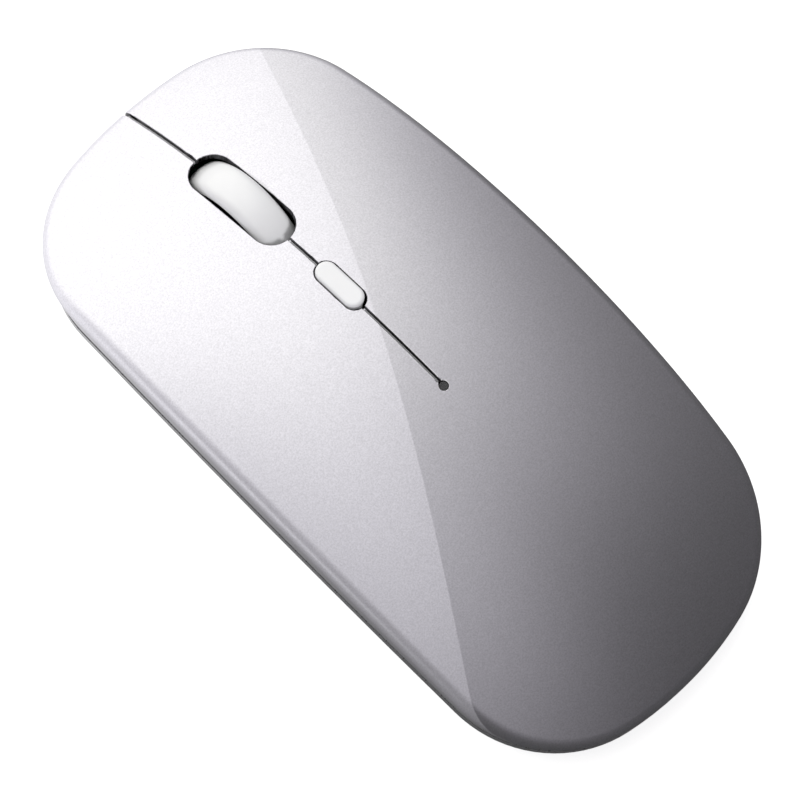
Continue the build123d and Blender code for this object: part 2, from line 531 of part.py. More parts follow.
# ---------------------------------------------------------------- wheel
def wheel_tyre():
    """The glossy outer band of the wheel, crowned across its width."""
    w, r = WHEEL_HALF, WHEEL_R
    left = [(-w + x, r - drop) for x, drop in SHOULDER]
    right = [(-x, y) for x, y in reversed(left)]
    arcs = [ThreePointArc(*left), ThreePointArc(left[-1], (0, r), right[0]), ThreePointArc(*right)]
    inner = Polyline(right[-1], (w, HUB_R), (-w, HUB_R), left[0])
    band = revolve(make_face(Wire([*(arc.edge() for arc in arcs), *inner.edges()])), Axis.X)
    return Pos(0, WHEEL_Y, WHEEL_Z) * band


def wheel_hub():
    """The hub: web, slotted light ring on the right, toothed detent ring on the left."""
    rim = HUB_R - HUB_T
    hub = rod_x(HUB_R, -HUB_HALF, HUB_HALF, 0, 0) - rod_x(rim, -HUB_HALF - OVER, HUB_HALF + OVER, 0, 0)
    hub += rod_x(rim + WEB_LAP, -WEB_HALF, WEB_HALF, 0, 0)
    hub += rod_x(BOSS_R, DETENT_X0, RING_X1, 0, 0)
    hub += rod_x(RING_R, RING_X0, RING_X1, 0, 0) + rod_x(DETENT_R, DETENT_X0, DETENT_X1, 0, 0)
    slot = block(RING_X0 - OVER, RING_X1 + OVER, -RING_SLOT_HALF, RING_SLOT_HALF,
                 RING_MID_R - RING_SLOT_IN, RING_MID_R + RING_SLOT_OUT)
    notch = rod_x(NOTCH_R, DETENT_X0 - OVER, DETENT_X1 + OVER, 0, DETENT_R + NOTCH_OUT)
    for i in range(RING_SLOTS):
        turn = Rot(i * 360 / RING_SLOTS, 0, 0)
        hub -= turn * slot
        hub -= turn * notch
    hub -= rod_x(AXLE_R, -TALL, TALL, 0, 0)
    return Pos(0, WHEEL_Y, WHEEL_Z) * hub


def wheel_axle():
    return rod_x(AXLE_R, -CRADLE_X1, CRADLE_X1, WHEEL_Y, WHEEL_Z)


def cradle_arm(side):
    """One arm of the wheel cradle, with its pivot pin and the lug over the switch or the coil."""
    x0, x1 = sorted((side * CRADLE_X0, side * CRADLE_X1))
    rear, front, head = PIVOT_Y - BAR_HALF, WHEEL_Y + ARM_FRONT, WHEEL_Z + ARM_HEAD
    side_view = Polyline((rear, PIVOT_Z - BAR_HALF), (PIVOT_Y + ARM_REACH_Y, LUG_Z0), (front, LUG_Z0),
                         (front, WHEEL_Z), (WHEEL_Y + ARM_TOP, head), (WHEEL_Y - ARM_TOP, head),
                         (rear, PIVOT_Z + BAR_HALF), close=True)
    arm = extrude(Plane.YZ.offset(x0) * make_face(side_view), x1 - x0)
    pin0, pin1 = sorted((side * (CRADLE_X1 - PIN_ROOT), side * (PIVOT_X0 + EAR_T)))
    arm += rod_x(PIVOT_R, pin0, pin1, PIVOT_Y, PIVOT_Z)
    lug0, lug1 = sorted((side * CRADLE_X0, side * LUG_END))
    return arm + block(lug0, lug1, WHEEL_Y - LUG_HALF, WHEEL_Y + LUG_HALF, LUG_Z0, LUG_Z0 + LUG_T)


def wheel_cradle():
    """The swinging frame that carries the wheel: two arms joined by a bar at their rear."""
    h = BAR_HALF
    frame = block(-CRADLE_X1, CRADLE_X1, PIVOT_Y - h, PIVOT_Y + h, PIVOT_Z - h, PIVOT_Z + h)
    frame += cradle_arm(1) + cradle_arm(-1)
    return frame - rod_x(AXLE_R + RUN_GAP, -TALL, TALL, WHEEL_Y, WHEEL_Z)


def detent_spring():
    """The leaf that rides on the hub's teeth, held in the cradle's rear bar."""
    z = WHEEL_Z - DETENT_R - LEAF_GAP
    x0, x1 = DETENT_X0 + LEAF_IN, DETENT_X1 - LEAF_IN
    return block(x0, x1, PIVOT_Y + BAR_HALF, WHEEL_Y + LEAF_END, z - LEAF_T, z)


def cradle_spring():
    """The coil that lifts the cradle back up."""
    rise = LUG_Z0 - BOARD_TOP - 2 * SPRING_GAP - SPRING_WIRE
    coil = Helix(pitch=rise / SPRING_TURNS, height=rise, radius=SPRING_R)
    section = Plane(origin=coil @ 0, z_dir=coil % 0) * Circle(SPRING_WIRE / 2)
    wire = sweep(section, path=coil)
    return Pos(SPRING_X, WHEEL_Y, BOARD_TOP + SPRING_GAP + SPRING_WIRE / 2) * wire


# ---------------------------------------------------------------- battery
def battery_pouch():
    cell = block(-CELL_HALF_W, CELL_HALF_W, CELL_Y0, CELL_Y1, CELL_Z0, CELL_Z0 + CELL_T)
    return fillet(cell.edges().filter_by(Axis.Y), CELL_ROUND)


def battery_tape():
    y0, y1 = CELL_Y0 + TAPE_REAR, CELL_Y1 - TAPE_FRONT
    return block(-BAY_HALF_W, BAY_HALF_W, y0, y1, BAY_ROOF_Z + BAY_WALL, CELL_Z0)


def battery_board():
    """The cell's protection board, along its front edge."""
    w, y0, y1 = CELL_BOARD_HALF, CELL_Y1 + CELL_BOARD_Y0, CELL_Y1 + CELL_BOARD_Y1
    return block(-w, w, y0, y1, CELL_Z0 + CELL_BOARD_Z0, CELL_Z0 + CELL_BOARD_Z1)


def battery_tabs():
    """Two nickel strips from the protection board down to the main board."""
    tabs = Part()
    y = CELL_Y1 + CELL_BOARD_Y1
    for x in (TAB_X, -TAB_X):
        x0, x1 = x - TAB_HALF, x + TAB_HALF
        strip = block(x0, x1, y, y + TAB_T, BOARD_TOP, CELL_Z0 + TAB_TOP)
        tabs += strip + block(x0, x1, y, y + TAB_FOOT, BOARD_TOP, BOARD_TOP + TAB_T)
    return tabs


# ---------------------------------------------------------------- receiver
def receiver_cap():
    """The moulded end of the wireless receiver, rounded where a finger pulls it."""
    y1 = BAY_MID_Y - BAY_GAP
    cap = block(-CAP_W / 2, CAP_W / 2, y1 - CAP_L, y1, CAP_Z0, CAP_Z1)
    cap = fillet(cap.edges().filter_by(Axis.Z), CAP_ROUND)
    return chamfer(cap.faces().sort_by(Axis.Y)[0].edges(), CAP_CHAMFER)


def receiver_plug():
    """The folded steel sleeve of the receiver's plug."""
    y0, z = BAY_MID_Y - BAY_GAP, (CAP_Z0 + CAP_Z1) / 2
    w, h, t = PLUG_W / 2, PLUG_H / 2, SLEEVE_T
    sleeve = block(-w, w, y0, y0 + PLUG_L, z - h, z + h)
    sleeve = fillet(sleeve.edges().filter_by(Axis.Y), SLEEVE_ROUND)
    sleeve -= block(t - w, w - t, y0 + SLEEVE_BACK, y0 + PLUG_L + OVER, z - h + t, z + h - t)
    for x in (WINDOW_X, -WINDOW_X):
        sleeve -= block(x - WINDOW_HALF, x + WINDOW_HALF, y0 + WINDOW_Y0, y0 + WINDOW_Y1, 0, z)
    return sleeve


def receiver_tongue():
    y0, z = BAY_MID_Y - BAY_GAP + SLEEVE_BACK, (CAP_Z0 + CAP_Z1) / 2
    w, h = PLUG_W / 2 - SLEEVE_T - RUN_GAP, PLUG_H / 2 - SLEEVE_T - RUN_GAP
    return block(-w, w, y0, y0 + PLUG_L - 2 * SLEEVE_BACK, z, z + h)


# ---------------------------------------------------------------- fasteners
def screw(x, y, z_head, z_end, head_r, shank_r):
    """A pan-head screw from z_head towards z_end, with a cross recess."""
    up = 1 if z_end > z_head else -1
    z0, z1 = sorted((z_head, z_head + up * HEAD_T))
    z2, z3 = sorted((z_head + up * HEAD_T, z_end))
    body = post(x, y, head_r, z0, z1) + post(x, y, shank_r, z2, z3)
    c0, c1 = sorted((z_head - up, z_head + up * CROSS_DEPTH))
    a, b = CROSS_HALF, CROSS_HALF_T
    return body - block(x - a, x + a, y - b, y + b, c0, c1) - block(x - b, x + b, y - a, y + a, c0, c1)


def case_screws():
    group = Part()
    for x, y in CASE_POSTS:
        group += screw(x, y, FLOOR_Z - SCREW_SUNK, POST_TOP + THREAD_L, HEAD_R, SCREW_R)
    return group


def board_screws():
    group = Part()
    for x, y in BOARD_POSTS:
        group += screw(x, y, BOARD_TOP + HEAD_T, FLOOR_Z - SCREW_SUNK, BOARD_HEAD_R, BOARD_SCREW_R)
    return group


# ---------------------------------------------------------------- all nodes
def build_nodes():
    nodes = {
        "palm_cover": palm_cover(),
        "left_key": key(-1),
        "right_key": key(1),
        "base_shell": base_shell(),
        "front_skate": skate(1, UNDER_Z + SKATE_POCKET),
        "rear_skate": skate(-1, UNDER_Z + SKATE_POCKET),
        "rating_label": rating_label(),
        "main_board": main_board(),
        "usb_port_shell": usb_port_shell(),
        "usb_port_tongue": usb_port_tongue(),
        "optical_sensor": optical_sensor(),
        "sensor_lens": sensor_lens(),
        "encoder_emitter": encoder_eye(WHEEL_HALF + EYE_SIDE_GAP, RING_X0 - EYE_RING_GAP, 1),
        "encoder_detector": encoder_eye(RING_X1 + EYE_RING_GAP, CRADLE_X0 - EYE_SIDE_GAP, -1),
        "light_pipe": light_pipe(),
        "power_switch_body": power_switch_body(),
        "power_switch_knob": power_switch_knob(),
        "dpi_button": dpi_button(),
        "dpi_guide": dpi_guide(),
        "wheel_tyre": wheel_tyre(),
        "wheel_hub": wheel_hub(),
        "wheel_axle": wheel_axle(),
        "wheel_cradle": wheel_cradle(),
        "detent_spring": detent_spring(),
        "cradle_spring": cradle_spring(),
        "battery_pouch": battery_pouch(),
        "battery_tape": battery_tape(),
        "battery_board": battery_board(),
        "battery_tabs": battery_tabs(),
        "receiver_cap": receiver_cap(),
        "receiver_plug": receiver_plug(),
        "receiver_tongue": receiver_tongue(),
        "case_screws": case_screws(),
        "board_screws": board_screws(),
    }
    for name, size in CHIPS.items():
        nodes[name] = chip(*size)
    for name, (x, y, w, l, h, pw, pl, stand) in SWITCHES.items():
        nodes[name + "_body"] = switch_body(x, y, w, l, h, pw, pl)
        nodes[name + "_plunger"] = switch_plunger(x, y, h, pw, pl, stand)
    return nodes


os.makedirs("parts", exist_ok=True)
for node, shape in build_nodes().items():
    export_step(shape, f"parts/{node}.step")
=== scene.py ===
from functools import lru_cache
from math import acos, asin, ceil, cos, exp, pi, radians, sin, sqrt

import bpy
import numpy as np
from mathutils import Matrix, Vector
from mathutils.geometry import delaunay_2d_cdt


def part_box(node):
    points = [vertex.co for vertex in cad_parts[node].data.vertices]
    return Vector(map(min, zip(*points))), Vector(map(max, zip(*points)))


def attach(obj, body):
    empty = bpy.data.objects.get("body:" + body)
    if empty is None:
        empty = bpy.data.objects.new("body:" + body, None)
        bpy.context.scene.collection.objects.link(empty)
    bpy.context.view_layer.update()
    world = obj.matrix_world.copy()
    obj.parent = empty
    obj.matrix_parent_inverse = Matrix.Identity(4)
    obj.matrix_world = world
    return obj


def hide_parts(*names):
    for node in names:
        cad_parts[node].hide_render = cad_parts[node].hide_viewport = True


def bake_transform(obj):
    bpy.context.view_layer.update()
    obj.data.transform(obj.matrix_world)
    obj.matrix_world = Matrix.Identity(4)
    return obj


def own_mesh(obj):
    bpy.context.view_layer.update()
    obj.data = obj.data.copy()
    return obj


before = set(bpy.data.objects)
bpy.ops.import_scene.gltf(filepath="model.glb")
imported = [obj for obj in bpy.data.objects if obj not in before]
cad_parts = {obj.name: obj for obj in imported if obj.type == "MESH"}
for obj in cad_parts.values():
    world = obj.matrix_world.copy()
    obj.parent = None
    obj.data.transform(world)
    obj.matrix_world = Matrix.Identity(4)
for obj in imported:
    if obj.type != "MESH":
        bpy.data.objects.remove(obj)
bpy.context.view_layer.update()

MM = 0.001

# The cover's form, in millimetres, as the CAD source has it.
NOSE_Y = 55.3
ARCS = [(94.6, 6.1), (17.1, 82.25), (2220.0, 1.93), (19.2, 77.4)]  # radius, degrees: nose to tail
ARC_STEPS = [1.2, 0.6, 2.0, 0.6, 1.2]                              # column spacing on each arc
COVER_Z, DRAFT, EDGE_R, WALL = 5.2, 0.184, 2.4, 1.5
CROWN, CROWN_SPAN, CROSS_R = [9.8, 31.2, 23.6, 28.3, 4.5], 60.0, 71.5
SEAM_Y, GROOVE = -4.9, 0.275
SLOT_Y, SLOT_L, SLOT_W = 32.7, 18.2, 6.6
DPI_Y, DPI_L, DPI_W = 13.78, 8.8, 3.56
LIGHT_Y, LIGHT_R = -5.9, 0.7
PORT_HALF, PORT_TOP = 5.27, 8.4
SOFT = 0.12                                                        # radius of the moulded edges
EDGE_IN = GROOVE + SOFT

# The meshes' steps: distances in millimetres, and numbers of steps.
SPACING, MERGE_DIGITS = 1.3, 5
WALL_LOW_STEPS, WALL_HIGH_STEPS, EDGE_STEPS, SOFT_STEPS = 3, 4, 12, 4
SEAM_STEPS, SLOT_STEPS, DPI_STEPS, LIGHT_STEPS = 16, 16, 10, 16
PORT_ROW = WALL_LOW_STEPS     # the row of a column that lies at the top of the charging port's opening


# ---------------------------------------------------------------- the cover's surface
def crown(y):
    """Height of the spine at y, and its slope."""
    t = (CROWN_SPAN - y) / (2 * CROWN_SPAN)
    c, s = CROWN, 1 - t
    z = c[0] * s**4 + 4 * c[1] * t * s**3 + 6 * c[2] * t**2 * s**2 + 4 * c[3] * t**3 * s + c[4] * t**4
    d = [c[i + 1] - c[i] for i in range(4)]
    dz = 4 * (d[0] * s**3 + 3 * d[1] * t * s**2 + 3 * d[2] * t**2 * s + d[3] * t**3)
    return z, -dz / (2 * CROWN_SPAN)


def top_point(x, y):
    """The point of the top surface above (x, y), and the normal there."""
    z, slope = crown(y)
    n = np.array([x / CROSS_R, -slope, 1.0])
    return np.array([x, y, z - x * x / (2 * CROSS_R)]), n / np.linalg.norm(n)


def arc_table():
    """(centre x, centre y, radius, first heading, last heading) of each arc, right half, nose to tail."""
    table, x, y, heading = [], 0.0, NOSE_Y, 0.0
    for radius, turn in ARCS:
        cx, cy = x - radius * sin(heading), y - radius * cos(heading)
        table.append((cx, cy, radius, heading, heading + radians(turn)))
        heading += radians(turn)
        x, y = cx + radius * sin(heading), cy + radius * cos(heading)
    tail_r = x / sin(heading)
    return table + [(0.0, y - tail_r * cos(heading), tail_r, heading, pi)]


ARC_TABLE = arc_table()


def outline_point(heading):
    """The outline's point and outward direction where it faces heading, measured from the nose."""
    cx, cy, r = next(a[:3] for a in ARC_TABLE if heading <= a[4] + 1e-9)
    n = np.array([sin(heading), cos(heading), 0.0])
    return np.array([cx, cy, 0.0]) + r * n, n


SIDE = ARC_TABLE[2]
SEAM_HEADING = acos((SEAM_Y - SIDE[1]) / SIDE[2])
PORT_HEADING = asin((PORT_HALF + SOFT) / ARC_TABLE[0][2])
GROOVE_HEADING = asin(EDGE_IN / ARC_TABLE[0][2])


def headings(first, last):
    """Headings of the columns between two headings, closer together round the corners."""
    stops = [first, last] + [h for h in (SEAM_HEADING, PORT_HEADING) if first < h < last]
    stops = sorted(stops + [a[4] for a in ARC_TABLE if first < a[4] < last])
    found = [stops[0]]
    for a, b in zip(stops, stops[1:]):
        i = next(i for i, arc in enumerate(ARC_TABLE) if (a + b) / 2 <= arc[4])
        n = ceil(ARC_TABLE[i][2] * (b - a) / ARC_STEPS[i])
        found += [a + (b - a) * k / n for k in range(1, n + 1)]
    return found


@lru_cache(maxsize=None)
def edge_ball(heading):
    """The ball of the rounded edge in one column: its centre, the wall's normal and the top's."""
    foot, n = outline_point(heading)
    wall_n = np.array([n[0], n[1], -DRAFT]) / sqrt(1 + DRAFT**2)
    z = 12.0
    for _ in range(30):
        centre = foot + n * DRAFT * (z - COVER_Z) + np.array([0, 0, z]) - EDGE_R * wall_n
        x, y = centre[:2]
        for _ in range(6):
            p, top_n = top_point(x, y)
            reach = float((p - centre) @ top_n)
            x, y = (centre + reach * top_n)[:2]
        if abs(reach - EDGE_R) < 1e-6:
            break
        z += reach - EDGE_R
    return centre, wall_n, top_n


def column(heading, side):
    """(point, normal) up one column of the rim, from the cover's lower edge to the top surface."""
    foot, n = outline_point(heading)
    centre, wall_n, top_n = edge_ball(heading)
    contact = centre + EDGE_R * wall_n
    z0, z3 = COVER_Z + SOFT, contact[2]
    z_mid = min(PORT_TOP + SOFT, z0 + 0.5 * (z3 - z0))
    heights = [z0 + (z_mid - z0) * k / WALL_LOW_STEPS for k in range(WALL_LOW_STEPS)]
    heights += [z_mid + (z3 - z_mid) * k / WALL_HIGH_STEPS for k in range(WALL_HIGH_STEPS)]
    rows = [(foot + n * DRAFT * (z - COVER_Z) + np.array([0, 0, z]), wall_n) for z in heights]
    angle = acos(float(wall_n @ top_n))
    for k in range(EDGE_STEPS + 1):
        t = k / EDGE_STEPS
        m = (wall_n * sin((1 - t) * angle) + top_n * sin(t * angle)) / sin(angle)
        rows.append((centre + EDGE_R * m, m))
    flip = np.array([side, 1, 1])
    return [(p * flip, m * flip) for p, m in rows]


# ---------------------------------------------------------------- mesh building
def merge_key(p):
    """The same for points that are one vertex."""
    return tuple(np.round(p, MERGE_DIGITS) + 0.0)


class Surface:
    """Points with normals, and faces, which always wind so that the normals point out."""

    def __init__(self):
        self.index, self.points, self.normals, self.faces = {}, [], [], []

    def vertex(self, p, n):
        key = merge_key(p)
        if key not in self.index:
            self.index[key] = len(self.points)
            self.points.append(np.array(p, float))
            self.normals.append(np.array(n, float))
        return self.index[key]

    def face(self, corners):
        ids = [self.vertex(p, n) for p, n in corners]
        ids = [v for i, v in enumerate(ids) if v != ids[i - 1]]
        if len(set(ids)) < 3:
            return
        a, b, c = (self.points[v] for v in ids[:3])
        if np.cross(b - a, c - a) @ sum(self.normals[v] for v in ids) < 0:
            ids.reverse()
        self.faces.append(ids)


class Shell:
    """Faces with a normal of their own at each corner, gathered into one closed mesh."""

    def __init__(self):
        self.index, self.points, self.faces, self.normals, self.dark_face = {}, [], [], [], []

    def face(self, corners, dark_face=False):
        """corners: (point, normal) in order. The face winds so that its normals point out."""
        ids = []
        for p, _ in corners:
            key = merge_key(p)
            if key not in self.index:
                self.index[key] = len(self.points)
                self.points.append(np.array(p, float))
            ids.append(self.index[key])
        keep = [i for i in range(len(ids)) if ids[i] != ids[i - 1]]
        if len(keep) < 3:
            return
        pts = [self.points[ids[i]] for i in keep]
        area = sum(np.cross(pts[i] - pts[0], pts[i + 1] - pts[0]) for i in range(1, len(pts) - 1))
        if area @ sum(corners[i][1] for i in keep) < 0:
            keep.reverse()
        self.faces.append([ids[i] for i in keep])
        self.dark_face.append(int(dark_face))
        self.normals += [corners[i][1] / np.linalg.norm(corners[i][1]) for i in keep]

    def build(self, name, *materials):
        mesh = bpy.data.meshes.new(name)
        mesh.from_pydata([tuple(p * MM) for p in self.points], [], self.faces)
        mesh.polygons.foreach_set("use_smooth", [True] * len(mesh.polygons))
        mesh.polygons.foreach_set("material_index", self.dark_face)
        for material in materials:
            mesh.materials.append(material)
        mesh.normals_split_custom_set([tuple(n) for n in self.normals])
        mesh.update()
        obj = bpy.data.objects.new(name, mesh)
        bpy.context.scene.collection.objects.link(obj)
        return obj


def unit(v):
    return v / max(np.linalg.norm(v), 1e-12)


def mitre(directions):
    """One outward step that keeps the edges either side of a corner straight."""
    mean = unit(sum(directions))
    return mean / max(0.6, float(mean @ directions[0]))


def depth_way(n):
    """The way in from an edge: straight down through the top, square to the surface at the rim."""
    share = min(1.0, max(0.0, (n[2] - 0.75) / 0.15))
    return (1 - share) * n + share * np.array([0, 0, 1 / max(n[2], 0.5)])


def thicken(surface, seam, name, *materials):
    """A closed skin: the surface, a rounded edge and a wall along its border, and an inner face."""
    border = {}
    for ids in surface.faces:
        for a, b in zip(ids, ids[1:] + ids[:1]):
            border[(a, b)] = border.pop((b, a), None) if (b, a) in border else (a, b)
    border = [e for e in border.values() if e]
    P, N = surface.points, surface.normals
    plain, at_seam = {}, {}
    for a, b in border:
        group = at_seam if a in seam and b in seam else plain
        for v in (a, b):
            group.setdefault(v, []).append(unit(np.cross(P[b] - P[a], N[v])))
    step = {v: mitre(plain[v]) if v in plain else np.zeros(3) for v in [*plain, *at_seam]}
    shell = Shell()
    inner = [p - WALL * N[v] if v not in step else p + SOFT * step[v] - WALL * depth_way(N[v])
             for v, p in enumerate(P)]
    for ids in surface.faces:
        shell.face([(P[v], N[v]) for v in ids])
        shell.face([(inner[v], -N[v]) for v in ids], dark_face=True)
    for a, b in border:
        strips = []
        for v in (a, b):
            t = unit(np.cross(P[b] - P[a], N[v]))
            if np.linalg.norm(step[v]) > 0 and not (a in seam and b in seam):
                mean = unit(step[v])
                t = mean if mean @ t > 0.9 else t
            rows = []
            for k in range(SOFT_STEPS + 1):
                c, s = cos(k * pi / 2 / SOFT_STEPS), sin(k * pi / 2 / SOFT_STEPS)
                rows.append((P[v] + SOFT * s * step[v] - SOFT * (1 - c) * N[v], c * N[v] + s * t))
            strips.append(rows + [(rows[-1][0], t), (inner[v], t)])
        # The wall below the rounded edge takes the dark moulding, like the inner face. On the inner face that
        # is the unpainted plastic; on the walls of the openings and the cover's lower edge the dark is partly
        # unpainted plastic and partly painted shade for the shadow there.
        for k in (*range(SOFT_STEPS), SOFT_STEPS + 1):
            shell.face([strips[0][k], strips[1][k], strips[1][k + 1], strips[0][k + 1]], dark_face=k > SOFT_STEPS)
    return shell.build(name, *materials)


# ---------------------------------------------------------------- the cover's three visible parts
def polyline(a, b, step=1.0):
    """Points from a up to but without b."""
    a, b = np.array(a, float), np.array(b, float)
    n = max(1, ceil(np.linalg.norm(b - a) / step))
    return [a + (b - a) * k / n for k in range(n)]


def half_opening(y_mid, length, width, steps):
    """The right half of a stadium opening, from the groove at its rear to the groove at its front."""
    r, half = width / 2 + SOFT, (length - width) / 2
    start = asin(EDGE_IN / r)
    turns = [start + (pi / 2 - start) * k / steps for k in range(steps + 1)]
    rear = [np.array([r * sin(t), y_mid - half - r * cos(t)]) for t in turns]
    front = [np.array([r * sin(t), y_mid + half + r * cos(t)]) for t in reversed(turns)]
    return rear[:-1] + polyline(rear[-1], front[0]) + front


def inside(points, ring):
    """Which points lie in the ring."""
    x, y = points[:, 0], points[:, 1]
    odd = np.zeros(len(points), bool)
    for (x0, y0), (x1, y1) in zip(ring, np.roll(ring, -1, 0)):
        if y0 != y1:
            odd ^= ((y0 > y) != (y1 > y)) & (x < (x1 - x0) * (y - y0) / (y1 - y0) + x0)
    return odd


def clearance(points, ring):
    """Each point's distance from the ring."""
    best = np.full(len(points), 1e9)
    for a, b in zip(ring, np.roll(ring, -1, 0)):
        t = np.clip(((points - a) @ (b - a)) / max((b - a) @ (b - a), 1e-12), 0, 1)
        best = np.minimum(best, np.linalg.norm(points - (a + t[:, None] * (b - a)), axis=1))
    return best


def fill_top(surface, ring):
    """Triangles over the ring, lifted on to the top surface. ring holds points of the top surface."""
    flat = np.array([p[:2] for p in ring])
    lo, hi = flat.min(0), flat.max(0)
    rows = np.arange(lo[1], hi[1], SPACING * 0.866)
    grid = np.array([(x + (i % 2) * SPACING / 2, y) for i, y in enumerate(rows)
                     for x in np.arange(lo[0], hi[0], SPACING)])
    grid = grid[inside(grid, flat)]
    grid = grid[clearance(grid, flat) > 0.5 * SPACING]
    given = np.vstack([flat, grid])
    out = delaunay_2d_cdt([Vector(p) for p in given], [], [list(range(len(flat)))], 1, 1e-6)
    verts, faces, origin = out[0], out[2], out[3]
    lifted = []
    for v, ids in zip(verts, origin):
        x, y = given[ids[0]] if ids else v
        lifted.append(top_point(x, y))
    for f in faces:
        surface.face([lifted[v] for v in f])


def rim_band(surface, columns, port=False):
    """The wall and rounded edge between columns, open round the charging port."""
    for a, b in zip(columns, columns[1:]):
        mid_x = abs(a[0][0][0] + b[0][0][0]) / 2
        first = PORT_ROW if port and mid_x < PORT_HALF else 0
        for k in range(first, len(a) - 1):
            surface.face([a[k], b[k], b[k + 1], a[k + 1]])


def seam_points(side):
    """The seam between a key and the palm part, from the rim in to the groove."""
    start = column(SEAM_HEADING, side)[-1][0][:2]
    end = np.array([side * EDGE_IN, SEAM_Y])
    return [start + (end - start) * k / SEAM_STEPS for k in range(SEAM_STEPS + 1)]


def seam_ids(surface):
    """The surface's vertices that lie on either seam."""
    ids = set()
    for side in (-1, 1):
        held = [p for p, _ in column(SEAM_HEADING, side)]
        held += [top_point(*p)[0] for p in seam_points(side)]
        for p in held:
            key = merge_key(p)
            if key in surface.index:
                ids.add(surface.index[key])
    return ids


def key_skin(side, name, *materials):
    surface = Surface()
    columns = [column(h, side) for h in headings(GROOVE_HEADING, SEAM_HEADING)]
    rim_band(surface, columns, port=True)
    rim = [c[-1][0][:2] for c in columns]
    flip = np.array([side, 1])
    dpi = half_opening(DPI_Y, DPI_L, DPI_W, DPI_STEPS)
    slot = half_opening(SLOT_Y, SLOT_L, SLOT_W, SLOT_STEPS)
    start = np.array([EDGE_IN, SEAM_Y])
    centre = polyline(start, dpi[0])[1:] + dpi[:-1] + polyline(dpi[-1], slot[0]) + slot[:-1]
    centre += polyline(slot[-1], rim[0] * flip)
    ring = rim + seam_points(side)[1:] + [p * flip for p in centre]
    fill_top(surface, ring)
    return thicken(surface, seam_ids(surface), name, *materials)


def palm_skin(name, *materials):
    surface = Surface()
    right = [column(h, 1) for h in headings(SEAM_HEADING, pi)]
    left = [column(h, -1) for h in headings(SEAM_HEADING, pi)]
    columns = left[:-1] + right[::-1]
    rim_band(surface, columns)
    rim = [c[-1][0][:2] for c in columns]
    r = LIGHT_R + SOFT
    start = asin(EDGE_IN / r)
    turns = [start + (pi - start) * k / LIGHT_STEPS for k in range(LIGHT_STEPS + 1)]
    hole = [np.array([r * sin(t), LIGHT_Y + r * cos(t)]) for t in turns]
    notch = polyline((EDGE_IN, SEAM_Y), hole[0], 0.2)[1:] + hole
    mirrored = [p * np.array([-1, 1]) for p in notch[::-1]][1:]
    ring = rim + seam_points(1)[1:] + notch + mirrored + seam_points(-1)[:0:-1]
    fill_top(surface, ring)
    return thicken(surface, seam_ids(surface), name, *materials)


TONGUE_DROP, TONGUE_T, TONGUE_GAP = 0.7, 0.6, 0.1
TONGUE_BITE, TONGUE_SHORT, TONGUE_BEVEL, TONGUE_STEP = 0.02, 0.1, 0.05, 1.0


def groove_tongue(name, material):
    """The left key's tongue, which closes the groove from below and stays clear of the right key."""
    shell = Shell()
    dpi, slot = DPI_L / 2 + TONGUE_SHORT, SLOT_L / 2 + TONGUE_SHORT
    spans = [(SEAM_Y, DPI_Y - dpi), (DPI_Y + dpi, SLOT_Y - slot), (SLOT_Y + slot, NOSE_Y)]
    x0, x1 = -GROOVE - TONGUE_BITE, GROOVE - TONGUE_GAP
    for y0, y1 in spans:
        n = ceil((y1 - y0) / TONGUE_STEP)
        rows = []
        for k in range(n + 1):
            y = y0 + (y1 - y0) * k / n
            z, slope = crown(y)
            up = unit(np.array([0, -slope, 1.0]))
            top, low = np.array([0, y, z - TONGUE_DROP]), np.array([0, y, z - TONGUE_DROP - TONGUE_T])
            rows.append(([top + [x0, 0, 0], top + [x1 - TONGUE_BEVEL, 0, 0], top + [x1, 0, -TONGUE_BEVEL],
                          low + [x1, 0, 0], low + [x0, 0, 0]], up))
        sides = [None, np.array([0.7, 0, 0.7]), np.array([1.0, 0, 0]), None, np.array([-1.0, 0, 0])]
        for (a, ua), (b, ub) in zip(rows, rows[1:]):
            for k, side in enumerate(sides):
                na, nb = (side, side) if side is not None else ((ua, ub) if k == 0 else (-ua, -ub))
                shell.face([(a[k], na), (a[(k + 1) % 5], na), (b[(k + 1) % 5], nb), (b[k], nb)])
        for (ring, _), way in ((rows[0], -1.0), (rows[-1], 1.0)):
            shell.face([(p, np.array([0, way, 0])) for p in ring])
    return shell.build(name, material)


INTO_WALL = 0.9               # how far under the top surface the ribs and posts end


def inner_features(name, places, foot_z, material):
    """Ribs or posts under the cover: prisms from foot_z that end inside its wall."""
    shell = Shell()
    for (x, y), ring in places:
        rows = []
        for px, py in ring:
            foot = np.array([x + px, y + py, foot_z])
            top, _ = top_point(x + px, y + py)
            rows.append((foot, top - [0, 0, INTO_WALL], unit(np.array([px, py, 0.0]))))
        for (a0, a1, na), (b0, b1, nb) in zip(rows, rows[1:] + rows[:1]):
            shell.face([(a0, na), (b0, nb), (b1, nb), (a1, na)])
        shell.face([(a, np.array([0, 0, -1.0])) for a, _, _ in rows])
        shell.face([(b, np.array([0, 0, 1.0])) for _, b, _ in rows])
    return shell.build(name, material)


def ring_of(radius, count=24):
    return [(radius * cos(2 * pi * k / count), radius * sin(2 * pi * k / count)) for k in range(count)]


